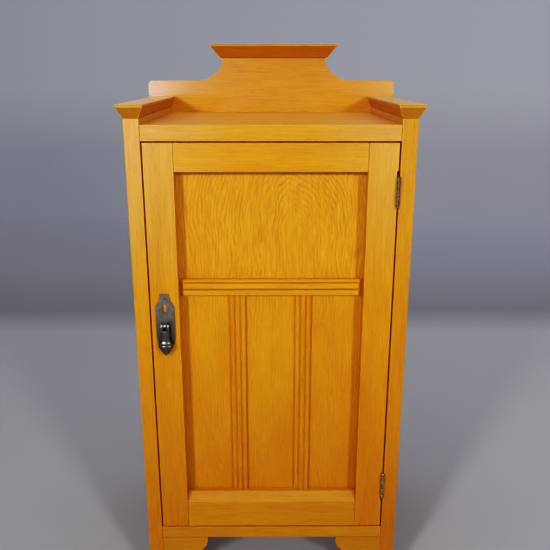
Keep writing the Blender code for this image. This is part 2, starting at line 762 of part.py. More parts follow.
def leaf_screw_positions(hand, middle):
    near = leaf_faces(hand)[0]
    return [(near, LEAF_SCREW_Y, middle + LEAF_SCREW_SPREAD * k) for k in (-1, 1)]


def hinge_leaf(label, hand, middle, look, parent):
    """A leaf with its own knuckles: the case's leaf has the odd ones, the door's the even ones."""
    knuckle = HINGE_LENGTH / KNUCKLES
    own = [i for i in range(KNUCKLES) if (i % 2 == 0) == (hand > 0)]
    root_y = HINGE_Y + LEAF_ROOT
    low = middle - HINGE_LENGTH / 2
    half_gap = GAP / 2
    front = []
    for i in own:
        bottom = low + i * knuckle + (half_gap if i else 0)
        top = low + (i + 1) * knuckle - (half_gap if i < KNUCKLES - 1 else 0)
        front += [(LEAF_FRONT, bottom), (root_y, bottom), (root_y, top), (LEAF_FRONT, top)]
    flush = own[0] == 0  # the end knuckles run to the leaf's ends
    high = low + HINGE_LENGTH
    edge = front[1:-1] if flush else [(LEAF_FRONT, low), *front, (LEAF_FRONT, high)]
    outline = [(LEAF_BACK, low), *edge, (LEAF_BACK, high)]
    faces = sorted(leaf_faces(hand))
    name = f"hinge_{label}_{'case' if hand > 0 else 'door'}_leaf"
    made = prism(name, outline, "X", *faces, look, parent)

    def tubes(bm):
        for i in own:
            bottom = i * knuckle - HINGE_LENGTH / 2 + (half_gap if i else 0)
            top = (i + 1) * knuckle - HINGE_LENGTH / 2 - (half_gap if i < KNUCKLES - 1 else 0)
            ring = [(HINGE_BORE, bottom), (KNUCKLE_RADIUS, bottom), (KNUCKLE_RADIUS, top), (HINGE_BORE, top)]
            add_turned(bm, ring, (HINGE_X, HINGE_Y, middle), (0, 0, 1), 16, closed=True)

    def screw_holes(bm):
        for position in leaf_screw_positions(hand, middle):
            screw_hole(bm, HINGE_SCREW, (-hand, 0, 0), position)

    add(made, f"{name}_knuckles", tubes)
    cut(made, f"{name}_screw_holes", screw_holes)


def hinge_pin(label, middle, look, parent):
    end = HINGE_LENGTH / 2 + GAP
    head, wide = HINGE_PIN_HEAD
    profile = [(0, end + head), (wide * 0.6, end + head), (wide, end), (HINGE_PIN_RADIUS, end)]
    profile += [(r, -h) for r, h in reversed(profile)]
    turned(f"hinge_{label}_pin", profile, (0, 0, 1), look, parent, (HINGE_X, HINGE_Y, middle), 12)


def hinges(brass, root, door):
    mesh = screw_mesh(HINGE_SCREW, brass)
    for label, middle in HINGE_HEIGHTS.items():
        for hand, owner, word in ((1, root, "case"), (-1, door, "door")):
            hinge_leaf(label, hand, middle, brass, owner)
            for i, position in enumerate(leaf_screw_positions(hand, middle)):
                screw(f"hinge_{label}_{word}_screw_{i + 1}", mesh, (-hand, 0, 0), position, owner, brass)
        hinge_pin(label, middle, brass, root)


def strike_box(bm, grow=0.0):
    face = -INNER_X
    half = (STRIKE_WIDTH / 2 + grow, STRIKE_HEIGHT / 2 + grow)
    low = (face - STRIKE_THICK - grow, CATCH_Y - half[0], CATCH_Z - half[1])
    high = (face + (OVER if grow else 0), CATCH_Y + half[0], CATCH_Z + half[1])
    add_box(bm, low, high)


def strike_screw_positions():
    return [(-INNER_X, CATCH_Y, CATCH_Z + k * STRIKE_SCREW_SPREAD) for k in (-1, 1)]


def strike_plate(brass, root):
    bm = bmesh.new()
    strike_box(bm)
    made = place("strike_plate", bm, brass, root, (0, 0, 0))

    def holes(bm):
        for position in strike_screw_positions():
            screw_hole(bm, STRIKE_SCREW, (1, 0, 0), position)
        centre = (-INNER_X, CATCH_Y, CATCH_Z)
        deep = STRIKE_THICK + OVER
        profile = [(0, OVER), (STRIKE_DIMPLE, OVER), (STRIKE_DIMPLE, -deep), (0, -deep)]
        add_turned(bm, profile, centre, (1, 0, 0), 16)

    cut(made, "strike_holes", holes)
    mesh = screw_mesh(STRIKE_SCREW, brass)
    for i, position in enumerate(strike_screw_positions()):
        screw(f"strike_screw_{i + 1}", mesh, (1, 0, 0), position, root, brass)


def ball_catch(brass, steel, door, ball_axis):
    """A sprung ball in a brass barrel, let into the edge of the shutting stile."""
    mouth = (-DOOR_HALF_WIDTH, CATCH_Y, CATCH_Z)
    floor = BARREL_FLOOR - BARREL_LENGTH
    barrel = [
        (0, -BARREL_LENGTH), (BARREL_RADIUS, -BARREL_LENGTH), (BARREL_RADIUS, 0), (BARREL_LIP, 0),
        (BARREL_LIP, -BARREL_LIP_THICK), (BARREL_BORE, -BARREL_LIP_THICK - GAP), (BARREL_BORE, floor),
        (0, floor),
    ]
    turned("catch_barrel", barrel, (-1, 0, 0), brass, door, mouth, 24)
    bm = bmesh.new()
    bmesh.ops.create_uvsphere(bm, u_segments=16, v_segments=10, radius=BALL_RADIUS)
    smooth(place("catch_ball", bm, steel, ball_axis, ball_axis["case_position"]))
    catch_spring(steel, door)


def catch_spring(steel, door):
    start = -DOOR_HALF_WIDTH + BARREL_LENGTH - BARREL_FLOOR - GAP - SPRING_WIRE
    per_turn = 12
    count = SPRING_TURNS * per_turn
    path = bpy.data.curves.new("catch_spring", "CURVE")
    path.dimensions = "3D"
    path.bevel_depth = SPRING_WIRE
    path.bevel_resolution = 1
    path.use_fill_caps = True
    path.resolution_u = 1
    spline = path.splines.new("POLY")
    spline.points.add(count)
    for i, point in enumerate(spline.points):
        turn = math.tau * i / per_turn
        along = -SPRING_LENGTH * i / count
        point.co = (along, SPRING_RADIUS * math.cos(turn), SPRING_RADIUS * math.sin(turn), 1)
    place_mesh("catch_spring", path, steel, door, (start, CATCH_Y, CATCH_Z))


# ---------------------------------------------------------------- handle


def plate_half_width(height):
    """Half the plate's width at a height from HANDLE_Z: a curved upper shoulder and a round lower one."""
    if height > 0:
        from_end = min(1.0, (PLATE_TOP - height) / SHOULDER_LENGTH) ** 1.8
        swell = from_end**2 * (3 - 2 * from_end)
    else:
        into = max(0.0, (PLATE_BOTTOM + LOWER_SHOULDER_LENGTH - height) / LOWER_SHOULDER_LENGTH)
        swell = math.sqrt(max(0.0, 1 - into**2))
    return PLATE_END_HALF_WIDTH + (PLATE_HALF_WIDTH - PLATE_END_HALF_WIDTH) * swell


def handle_plate(bronze, door):
    """The back plate with its keyhole and the lug that holds the pivot pin."""
    steps = 10
    heights = [PLATE_TOP - SHOULDER_LENGTH * i / steps for i in range(steps + 1)]
    turn = math.pi / 2 / steps
    heights += [PLATE_BOTTOM + LOWER_SHOULDER_LENGTH * (1 - math.sin(turn * i)) for i in range(steps + 1)]
    right = [(plate_half_width(h), h) for h in heights]
    outline = right + [(-x, h) for x, h in reversed(right)]
    outline = [(HANDLE_X + x, HANDLE_Z + h) for x, h in outline]
    face = -GAP - PLATE_THICK
    made = prism("handle_plate", outline, "Y", face, -GAP, bronze, door)

    def keyhole(bm):
        deep = PLATE_THICK + GAP + OVER
        profile = [(0, OVER), (KEYHOLE_RADIUS, OVER), (KEYHOLE_RADIUS, -deep), (0, -deep)]
        add_turned(bm, profile, (HANDLE_X, face, KEYHOLE_Z), (0, -1, 0), 20)

    def key_slot(bm):
        edges = (HANDLE_X - KEY_SLOT_HALF_WIDTH, HANDLE_X + KEY_SLOT_HALF_WIDTH)
        low = KEYHOLE_Z - KEYHOLE_DROP
        add_box(bm, (edges[0], face - OVER, low), (edges[1], OVER, KEYHOLE_Z))

    def pin_holes(bm):
        shank = PLATE_PIN[1] + GAP
        for z in PLATE_PINS.values():
            deep = PLATE_THICK + GAP + OVER
            profile = [(0, OVER), (shank, OVER), (shank, -deep), (0, -deep)]
            add_turned(bm, profile, (HANDLE_X, face, z), (0, -1, 0), 12)

    def pivot_hole(bm):
        reach = LUG_HALF_WIDTH + OVER
        profile = [(0, reach), (EYE_BORE, reach), (EYE_BORE, -reach), (0, -reach)]
        add_turned(bm, profile, (HANDLE_X, PIVOT_Y, PIVOT_Z), (1, 0, 0), 12)

    def boss(bm):
        profile = [(0, -OVER), (BOSS_RADIUS, -OVER), (BOSS_RADIUS, BOSS_HEIGHT / 2)]
        profile += [(BOSS_RADIUS - BOSS_HEIGHT / 2, BOSS_HEIGHT), (0, BOSS_HEIGHT)]
        add_turned(bm, profile, (HANDLE_X, face, PIVOT_Z), (0, -1, 0), 32)

    add(made, "handle_boss", boss)
    add(made, "handle_lug", lambda bm: handle_lug(bm, face))
    cut(made, "keyhole", keyhole)
    cut(made, "key_slot", key_slot)
    cut(made, "plate_pin_holes", pin_holes)
    cut(made, "pivot_hole", pivot_hole)
    smooth(made)


def handle_lug(bm, face):
    """The plate's one lug: a round nose about the pivot, running back into the plate."""
    root = face + PLATE_THICK / 2
    nose = arc((PIVOT_Y, PIVOT_Z), LUG_RADIUS, 90, 270, 10)
    outline = [(root, PIVOT_Z + LUG_RADIUS + 1 * MM), *nose, (root, PIVOT_Z - LUG_RADIUS - 1 * MM)]
    add_prism(bm, outline, "X", HANDLE_X - LUG_HALF_WIDTH, HANDLE_X + LUG_HALF_WIDTH)


def pivot_pin(bronze, door):
    end = LUG_HALF_WIDTH + GAP + ARM_THICK + GAP
    high, wide = PIVOT_PIN_HEAD
    profile = [(0, end + high), (wide * 0.7, end + high), (wide, end), (PIVOT_PIN_RADIUS, end)]
    profile += [(r, -h) for r, h in reversed(profile)]
    turned("handle_pivot_pin", profile, (1, 0, 0), bronze, door, (HANDLE_X, PIVOT_Y, PIVOT_Z), 12)


def plate_pin(label, z, bronze, door):
    """A round-headed pin through the plate into the stile."""
    head, shank, length = PLATE_PIN
    base = GAP
    profile = [(0, base + head * 0.8), (head * 0.6, base + head * 0.65), (head, base)]
    profile += [(shank, base), (shank, GAP * 2 - length), (0, GAP - length)]
    face = (HANDLE_X, -GAP - PLATE_THICK, z)
    turned(f"handle_plate_pin_{label}", profile, (0, -1, 0), bronze, door, face, 12)


def handle_drop(bronze, pivot):
    """The flattened bell-shaped drop, hung by two arms. Heights are below the pivot."""
    profile = [(r * MM, h * MM) for r, h in DROP_PROFILE]
    bm = bmesh.new()
    add_turned(bm, profile, (0, 0, 0), (0, 0, 1), 32)
    bmesh.ops.scale(bm, vec=(1, DROP_FLATTEN, 1), verts=bm.verts)
    made = place("handle_drop", bm, bronze, pivot, pivot["case_position"])
    inner = LUG_HALF_WIDTH + GAP
    x, y, z = pivot["case_position"]

    def arm(bm, hand):
        head = arc((y, z), ARM_RADIUS, 180, 0, 12)
        foot = ARM_RADIUS * 0.75
        outline = [*head, (y + foot, z - ARM_LENGTH), (y - foot, z - ARM_LENGTH)]
        edges = sorted((x + hand * inner, x + hand * (inner + ARM_THICK)))
        add_prism(bm, outline, "X", *edges)

    def bore(bm):
        reach = inner + ARM_THICK + OVER
        profile = [(0, reach), (EYE_BORE, reach), (EYE_BORE, -reach), (0, -reach)]
        add_turned(bm, profile, pivot["case_position"], (1, 0, 0), 12)

    for hand in (-1, 1):
        add(made, f"drop_arm_{'left' if hand < 0 else 'right'}", lambda bm, hand=hand: arm(bm, hand))
    cut(made, "drop_bore", bore)
    smooth(made, 50)


# ---------------------------------------------------------------- assembly


def build():
    for old in list(bpy.data.objects):
        bpy.data.objects.remove(old)
    oak = material("oak", (0.62, 0.33, 0.06), 0.35)
    panel_oak = material("panel_oak", (0.60, 0.30, 0.05), 0.35)
    plain_wood = material("plain_wood", (0.55, 0.38, 0.20), 0.6)
    bronze = material("bronze", (0.07, 0.06, 0.05), 0.4, 0.9)
    brass = material("brass", (0.42, 0.30, 0.13), 0.4, 1.0)
    steel = material("steel", (0.55, 0.55, 0.55), 0.3, 1.0)

    front = PIVOT_Y - max(r for r, _ in DROP_PROFILE) * MM * DROP_FLATTEN
    back = CASE_DEPTH + GAP + GALLERY_THICK
    root = axis_empty("cupboard", (0, 0, 0), None)
    root.location.y = -(front + back) / 2
    door = axis_empty("door_axis", (HINGE_X, HINGE_Y, DOOR_BOTTOM), root)
    drop_axis = axis_empty("drop_axis", (HANDLE_X, PIVOT_Y, PIVOT_Z), door)
    ball_x = -DOOR_HALF_WIDTH - BALL_PROTRUSION + BALL_RADIUS
    ball_axis = axis_empty("ball_axis", (ball_x, CATCH_Y, CATCH_Z), door)

    top_board(oak, root)
    flat_boards(oak, root)
    back_boards(plain_wood, root)
    gallery_back(oak, root)
    caps(oak, root)
    for hand in (-1, 1):
        side(hand, oak, root)
        bracket(hand, oak, root)
        shelf_bearer(hand, plain_wood, root)
    for label, middle in STOP_HEIGHTS.items():
        door_stop(label, middle, plain_wood, root)
    mesh = screw_mesh(GALLERY_SCREW, steel)
    for i, x in enumerate(GALLERY_SCREW_X):
        screw(f"gallery_screw_{i + 1}", mesh, (0, 1, 0), gallery_screw_position(x), root, steel)

    for hand in (-1, 1):
        stile(hand, oak, door)
        reeded_moulding(hand, oak, door)
    rails(oak, door)
    panel(panel_oak, door)
    cross_moulding(oak, door)
    hinges(brass, root, door)
    strike_plate(brass, root)
    ball_catch(brass, steel, door, ball_axis)

    handle_plate(bronze, door)
    pivot_pin(bronze, door)
    for label, z in PLATE_PINS.items():
        plate_pin(label, z, bronze, door)
    handle_drop(bronze, drop_axis)


build()
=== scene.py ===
"""Looks, light and camera for a one-door oak bedside cupboard.

Metres, +Z up, front towards -Y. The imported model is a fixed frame, and every place comes from it.
"""

import math

import bpy
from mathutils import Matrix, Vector


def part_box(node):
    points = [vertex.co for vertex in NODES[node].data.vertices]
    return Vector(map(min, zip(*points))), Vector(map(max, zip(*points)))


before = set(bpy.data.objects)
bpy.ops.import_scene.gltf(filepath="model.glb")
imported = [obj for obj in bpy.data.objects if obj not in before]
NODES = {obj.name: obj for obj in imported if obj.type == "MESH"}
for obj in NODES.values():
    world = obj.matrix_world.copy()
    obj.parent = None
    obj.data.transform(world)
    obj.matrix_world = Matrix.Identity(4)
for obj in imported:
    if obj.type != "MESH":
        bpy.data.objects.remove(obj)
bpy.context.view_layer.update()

MM = 0.001
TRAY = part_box("top_board")[1].z
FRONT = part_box("side_left")[0].y
CASE_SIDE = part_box("side_right")[0].x  # the inner face
DOOR_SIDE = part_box("door_stile_right")[1].x  # the hanging edge
FLOOR = 0.0
BLACK = (0.0, 0.0, 0.0)
WHITE = (1.0, 1.0, 1.0)


# ---------------------------------------------------------------- node helpers


def add_node(tree, kind, **settings):
    """Adds a node and sets its properties."""
    made = tree.nodes.new(kind)
    for name, value in settings.items():
        setattr(made, name, value)
    return made


def feed(tree, value, socket):
    """Links a socket, or sets a plain value."""
    if isinstance(value, bpy.types.NodeSocket):
        tree.links.new(value, socket)
    else:
        socket.default_value = value


def calc(tree, operation, a, b=0.0):
    """One step of arithmetic."""
    made = add_node(tree, "ShaderNodeMath", operation=operation)
    feed(tree, a, made.inputs[0])
    feed(tree, b, made.inputs[1])
    return made.outputs[0]


def multiply(tree, first, *others):
    """The product of several values."""
    for other in others:
        first = calc(tree, "MULTIPLY", first, other)
    return first


def within(tree, value, low, high):
    """1 where a value lies between two limits, and 0 elsewhere."""
    above = calc(tree, "GREATER_THAN", value, low)
    return multiply(tree, above, calc(tree, "LESS_THAN", value, high))


def remap(tree, value, low, high, to_low=0.0, to_high=1.0):
    """Maps low..high to to_low..to_high, clamped."""
    made = add_node(tree, "ShaderNodeMapRange", clamp=True)
    feed(tree, value, made.inputs["Value"])
    limits = {"From Min": low, "From Max": high, "To Min": to_low, "To Max": to_high}
    for name, number in limits.items():
        made.inputs[name].default_value = number
    return made.outputs[0]


def coordinates(tree, kind):
    """X, Y and Z of a texture coordinate. Object is the place at rest, and rides with its body."""
    made = add_node(tree, "ShaderNodeSeparateXYZ")
    tree.links.new(add_node(tree, "ShaderNodeTexCoord").outputs[kind], made.inputs[0])
    return made.outputs


def noise(tree, vector, scale, detail=2.0, roughness=0.5, output="Fac"):
    """Noise at a scale in cycles per metre."""
    made = add_node(tree, "ShaderNodeTexNoise")
    tree.links.new(vector, made.inputs["Vector"])
    made.inputs["Scale"].default_value = scale
    made.inputs["Detail"].default_value = detail
    made.inputs["Roughness"].default_value = roughness
    return made.outputs[output]


def ramp(tree, value, stops):
    """A colour ramp. stops are (position, colour) pairs."""
    made = add_node(tree, "ShaderNodeValToRGB")
    elements = made.color_ramp.elements
    while len(elements) < len(stops):
        elements.new(0.5)
    for element, (position, color) in zip(elements, stops):
        element.position = position
        element.color = (*color, 1)
    tree.links.new(value, made.inputs[0])
    return made.outputs["Color"]


def mix(tree, share, a, b, blend="MIX"):
    """Mixes two colours."""
    made = add_node(tree, "ShaderNodeMix", data_type="RGBA", blend_type=blend)
    feed(tree, share, made.inputs[0])
    for value, socket in ((a, made.inputs[6]), (b, made.inputs[7])):
        feed(tree, (*value, 1) if isinstance(value, tuple) else value, socket)
    return made.outputs[2]


def tinted(tree, color, tint):
    """A colour multiplied by another."""
    return mix(tree, 1.0, color, tint, "MULTIPLY")


def vector_calc(tree, operation, a, b):
    """One step of vector arithmetic."""
    made = add_node(tree, "ShaderNodeVectorMath", operation=operation)
    for value, socket in ((a, made.inputs[0]), (b, made.inputs[1])):
        feed(tree, value, socket)
    return made.outputs[0]


def new_material(name):
    """A material, its node tree and its shader."""
    made = bpy.data.materials.new(name)
    made.use_nodes = True
    tree = made.node_tree
    return made, tree, tree.nodes["Principled BSDF"]


def bump(tree, height, shader, strength, distance):
    """Raises the surface by a height, up to a distance."""
    made = add_node(tree, "ShaderNodeBump")
    tree.links.new(height, made.inputs["Height"])
    made.inputs["Strength"].default_value = strength
    made.inputs["Distance"].default_value = distance
    tree.links.new(made.outputs["Normal"], shader.inputs["Normal"])


# ---------------------------------------------------------------- wood


# The colour at the floor, half way up and at the tray: darker and redder downwards, painted shade
# for the lamps' light falling off towards the floor
OAK_FLOOR = (0.515, 0.190, 0.004)
OAK_MIDDLE = (0.655, 0.272, 0.007)
OAK_TRAY = (0.690, 0.335, 0.024)
DARKER_DOWNWARDS = (0.1, TRAY + 0.05)  # Z, from OAK_FLOOR to OAK_TRAY
VARNISH_TINT = (1.0, 0.80, 0.55)
HAZE_TINT = (0.33, 0.62, 0.88)  # the gallery's varnish, which has gone cloudy
LEVEL_TOP = (0.4, 0.68)  # Z of the normal, from a slope to a level top
FACES_FRONT = -0.7  # Y of the normal, at most

# The front's upper corners, where the light lies on the varnish
OAK_SHEEN = (0.700, 0.385, 0.100)
SHEENY = ("side_left", "top_board", "door_stile_left", "door_stile_right", "door_rail_top")
SHEEN_ASIDE = (0.05, 0.185)  # distance from the centre line
SHEEN_HEIGHT = (TRAY - 0.24, TRAY - 0.05)

# The faces that line the gap between door and case: painted shade that darkens them, and a faint
# red glow of painted light
GAP_SHADE = (0.74, 0.58, 0.5)
GAP_GLOW = (0.028, 0.0030, 0.0004)  # the red light that gathers there
GAP_DEPTH = (FRONT + 1.2 * MM, FRONT + 30 * MM)
GAP_MARGIN = 0.5 * MM

# Painted shade in the mouldings' grooves and along their sides: two depths from the front face,
# then a top edge and ends left unshaded
GROOVES = {
    "door_moulding_cross": (0.7 * MM, 1.7 * MM, 3.6 * MM, 6.5 * MM),
    "door_moulding_left": (1.0 * MM, 6.0 * MM, 0.0, 0.0),
    "door_moulding_right": (1.0 * MM, 6.0 * MM, 0.0, 0.0),
}
GROOVE_SHADE = (0.62, 0.34, 0.2)
GROOVE_MARGIN = 0.1 * MM

# The panel's growth rings
RINGS_PER_METRE = 210
RING_CROWN_X = 0.036  # where the rings arch over
RING_CROWN_Z = TRAY - 0.150
RING_CROWN_SQUEEZE = 0.6  # of heights above it: under 1, the arch is taller than it is wide
CALM_BELOW = (TRAY - 0.30, TRAY - 0.20)  # Z, from half the figure's strength to all of it


def along_grain(tree, grain, stretch, shift, warp=0.0, warp_scale=6.0):
    """Object coordinates squeezed along the grain, so that noise runs out into fibres."""
    place = add_node(tree, "ShaderNodeTexCoord").outputs["Object"]
    if warp:
        wander = noise(tree, place, warp_scale, 1.0, output="Color")
        wander = vector_calc(tree, "SUBTRACT", wander, (0.5, 0.5, 0.5))
        wander = vector_calc(tree, "MULTIPLY", wander, (warp, warp, warp))
        place = vector_calc(tree, "ADD", place, wander)
    scale = [1.0, 1.0, 1.0]
    scale["XYZ".index(grain)] = 1 / stretch
    place = vector_calc(tree, "ADD", place, (shift, shift * 1.7, shift * 2.3))
    return vector_calc(tree, "MULTIPLY", place, tuple(scale))


def in_the_gap(tree):
    """1 on the faces that line the narrow gap between the door and the case."""
    x, y, z = coordinates(tree, "Object")
    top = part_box("top_board")[0].z + GAP_MARGIN
    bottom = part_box("bottom_board")[1].z - GAP_MARGIN
    aside = calc(tree, "ABSOLUTE", x)
    beside = calc(tree, "GREATER_THAN", aside, DOOR_SIDE - GAP_MARGIN)
    above = within(tree, z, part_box("door_rail_top")[1].z - GAP_MARGIN, top)
    below = within(tree, z, bottom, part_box("door_rail_bottom")[0].z + GAP_MARGIN)
    around = calc(tree, "MAXIMUM", beside, calc(tree, "MAXIMUM", above, below))
    inside = calc(tree, "LESS_THAN", aside, CASE_SIDE + GAP_MARGIN)
    return multiply(tree, around, inside, within(tree, z, bottom, top), within(tree, y, *GAP_DEPTH))


def in_the_grooves(tree, node):
    """How deep a point lies in a moulding's grooves: 0 on their shoulders, 1 at the bottom."""
    low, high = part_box(node)
    shallow, deep, top, end = GROOVES[node]
    x, y, z = coordinates(tree, "Object")
    depth = remap(tree, y, low.y + shallow, low.y + deep)
    between = within(tree, x, low.x + end - GROOVE_MARGIN, high.x - end + GROOVE_MARGIN)
    return multiply(tree, depth, between, calc(tree, "LESS_THAN", z, high.z - top))


def in_the_sheen(tree):
    """On faces that look forward: 1 in the front's upper corners, 0 at its middle and below."""
    x, _, z = coordinates(tree, "Object")
    aside = remap(tree, calc(tree, "ABSOLUTE", x), *SHEEN_ASIDE)
    high = remap(tree, z, *SHEEN_HEIGHT)
    forward = calc(tree, "LESS_THAN", coordinates(tree, "Normal")["Y"], FACES_FRONT)
    return multiply(tree, aside, high, forward)


def oak_color(tree, value, tint=WHITE, lit_top_tint=None, node=None):
    """The colour at a height, darker lower down as painted shade, times a brightness that shifts
    green and blue the most.
    """
    # painted shade: darker and redder towards the floor
    height = remap(tree, coordinates(tree, "Object")["Z"], *DARKER_DOWNWARDS)
    base = ramp(tree, height, [(0.0, OAK_FLOOR), (0.5, OAK_MIDDLE), (1.0, OAK_TRAY)])
    if node in SHEENY:
        base = mix(tree, in_the_sheen(tree), base, OAK_SHEEN)
    shade = add_node(tree, "ShaderNodeCombineColor")
    for power, socket in zip((1.0, 2.0, 3.0), shade.inputs):
        tree.links.new(calc(tree, "POWER", value, power), socket)
    color = tinted(tree, base, shade.outputs[0])
    # painted light and sheen on faces that look up
    if lit_top_tint:
        level = remap(tree, coordinates(tree, "Normal")["Z"], *LEVEL_TOP)
        tint = mix(tree, level, tint, lit_top_tint)
    if tint != WHITE:
        color = tinted(tree, color, tint)
    # painted shade, deeper towards the bottom of the mouldings' grooves
    if node in GROOVES:
        color = mix(tree, in_the_grooves(tree, node), color, tinted(tree, color, GROOVE_SHADE))
    # painted shade on the faces that line the gap between door and case
    return mix(tree, in_the_gap(tree), color, tinted(tree, color, GAP_SHADE))


def glow_in_the_gap(tree, shader):
    """Painted light: a faint glow on the faces that line the narrow gap between the door and the
    case.
    """
    lit = mix(tree, in_the_gap(tree), BLACK, GAP_GLOW)
    tree.links.new(lit, shader.inputs["Emission Color"])
    shader.inputs["Emission Strength"].default_value = 1.0


def varnish(shader, level=0.4, tint=VARNISH_TINT):
    """The colour and strength of the reflection."""
    shader.inputs["Specular IOR Level"].default_value = level
    shader.inputs["Specular Tint"].default_value = (*tint, 1)


def oak(part, grain, shift, tint=WHITE, lit_top_tint=None, hazy=False):
    """Golden oak under shellac: long fine fibres and short pores, over broad soft bands."""
    made, tree, shader = new_material(f"oak_{part}")
    bands = noise(tree, along_grain(tree, grain, 9, shift, 0.02), 38, 3.0, 0.55)
    fibres = noise(tree, along_grain(tree, grain, 30, shift, 0.006), 620, 3.0, 0.65)
    pores = noise(tree, along_grain(tree, grain, 12, shift, 0.01), 900, 1.0, 0.5)
    band = remap(tree, bands, 0.3, 0.7, 0.95, 1.04)
    fibre = remap(tree, fibres, 0.32, 0.68, 0.92, 1.06)
    pore = remap(tree, pores, 0.28, 0.40, 0.90, 1.0)
    color = oak_color(tree, multiply(tree, band, fibre, pore), tint, lit_top_tint, part)
    tree.links.new(color, shader.inputs["Base Color"])
    glow_in_the_gap(tree, shader)
    bump(tree, multiply(tree, fibre, pore), shader, 0.25, 0.12 * MM)
    if hazy:
        varnish(shader, 1.0, HAZE_TINT)
        shader.inputs["Roughness"].default_value = 0.25
    else:
        varnish(shader)
        tree.links.new(remap(tree, fibres, 0.3, 0.7, 0.44, 0.32), shader.inputs["Roughness"])
    return made


def figure(tree):
    """Growth rings that run up the panel, arch over on the right and wander.

    The value is 1, and falls in each late ring.
    """
    x, _, z = coordinates(tree, "Object")
    across = calc(tree, "ABSOLUTE", calc(tree, "SUBTRACT", x, RING_CROWN_X))
    above = calc(tree, "MAXIMUM", calc(tree, "SUBTRACT", z, RING_CROWN_Z), 0.0)
    above = multiply(tree, above, RING_CROWN_SQUEEZE)
    squares = calc(tree, "ADD", multiply(tree, across, across), multiply(tree, above, above))
    away = calc(tree, "SQRT", squares)
    broad = noise(tree, along_grain(tree, "Z", 3, 3.1), 13, 3.0, 0.5)
    fine = noise(tree, along_grain(tree, "Z", 2.5, 5.7), 75, 2.0, 0.5)
    rings = multiply(tree, away, RINGS_PER_METRE)
    for wander, rings_moved in ((broad, 9.0), (fine, 2.2)):
        rings = calc(tree, "ADD", rings, multiply(tree, wander, rings_moved))
    late = remap(tree, calc(tree, "FRACT", rings), 0.5, 0.95, 0.0, -0.17)
    broken = noise(tree, along_grain(tree, "Z", 5, 2.2), 60, 2.0)
    broken = remap(tree, broken, 0.38, 0.62, 0.35, 1.2)
    calm_crown = remap(tree, away, 0.005, 0.035, 0.35, 1.0)
    return calc(tree, "ADD", multiply(tree, late, broken, calm_crown), 1.0)


def figured_oak(name):
    """The panel's oak, calmer in the lower half."""
    made, tree, shader = new_material(name)
    fibres = noise(tree, along_grain(tree, "Z", 14, 3.1, 0.02, 12.0), 420, 3.0, 0.6)
    bands = noise(tree, along_grain(tree, "Z", 2, 1.3), 16, 2.0)
    streak = multiply(tree, figure(tree), remap(tree, fibres, 0.36, 0.64, 0.93, 1.08))
    strength = remap(tree, coordinates(tree, "Object")["Z"], *CALM_BELOW, 0.5, 1.0)
    contrast = multiply(tree, calc(tree, "SUBTRACT", streak, 1.0), strength)
    band = remap(tree, bands, 0.3, 0.7, 0.96, 1.04)
    value = multiply(tree, calc(tree, "ADD", contrast, 1.02), band)
    tree.links.new(oak_color(tree, value), shader.inputs["Base Color"])
    shader.inputs["Roughness"].default_value = 0.34
    varnish(shader)
    bump(tree, streak, shader, 0.15, 0.1 * MM)
    return made


def worn_and_glinting_arris(name):
    """The edges of a board, paler: rubbed where the finish is thinner, and a painted highlight
    along the arris.
    """
    made, tree, shader = new_material(name)
    place = add_node(tree, "ShaderNodeTexCoord").outputs["Object"]
    rub = remap(tree, noise(tree, place, 45, 3.0), 0.35, 0.65, 0.98, 1.12)
    tree.links.new(oak_color(tree, rub, (1.0, 1.05, 1.5)), shader.inputs["Base Color"])
    shader.inputs["Roughness"].default_value = 0.3
    varnish(shader)
    return made


def pine(name, grain):
    """Unpolished pine: fine growth lines in broad soft bands, gone brown with age."""
    made, tree, shader = new_material(name)
    bands = noise(tree, along_grain(tree, grain, 10, 0.4, 0.02), 22, 2.0)
    wander = noise(tree, along_grain(tree, grain, 16, 1.9, 0.01), 34, 2.0, 0.5)
    rings = calc(tree, "FRACT", multiply(tree, wander, 22.0))
    fibres = noise(tree, along_grain(tree, grain, 30, 0.9), 700, 2.0)
    browns = [(0.35, (0.40, 0.25, 0.12)), (0.5, (0.47, 0.31, 0.16)), (0.65, (0.54, 0.37, 0.20))]
    lines = [(0.0, WHITE), (0.55, (0.98, 0.96, 0.94)), (0.95, (0.74, 0.64, 0.55))]
    streaks = [(0.3, (0.86, 0.84, 0.82)), (0.6, WHITE)]
    color = tinted(tree, ramp(tree, bands, browns), ramp(tree, rings, lines))
    color = tinted(tree, color, ramp(tree, fibres, streaks))
    tree.links.new(color, shader.inputs["Base Color"])
    shader.inputs["Roughness"].default_value = 0.7
    bump(tree, fibres, shader, 0.3, 0.2 * MM)
    return made


# ---------------------------------------------------------------- metal


# Painted highlights: three bright bare-metal spots at the front of the pivot
GLINT_METAL = (0.50, 0.48, 0.45)
SPOT_SPACING = 4.7 * MM
SPOT_SHARE = (0.27, 0.73)  # of the spacing, which a spot fills
SPOTS_ASIDE = 10.5  # 10 keeps the count positive, and the half puts a spot on the centre
# Painted shadow of the drop on the plate, below the pivot
SHADOW_REACH = 12 * MM  # above and below the pivot
SHADOW_SHARE = 0.35  # of the dark tone


def glint_spots(tree, pivot):
    """1 on three spots side by side at the front of the pivot: painted highlights, set as bright
    bare metal.
    """
    x, y, z = coordinates(tree, "Object")
    level = within(tree, z, pivot.z - 1.4 * MM, pivot.z + 2.4 * MM)
    front = calc(tree, "LESS_THAN", y, pivot.y - 1.5 * MM)
    count = calc(tree, "DIVIDE", calc(tree, "SUBTRACT", x, pivot.x), SPOT_SPACING)
    share = calc(tree, "FRACT", calc(tree, "ADD", count, SPOTS_ASIDE))
    return multiply(tree, level, front, within(tree, share, *SPOT_SHARE))


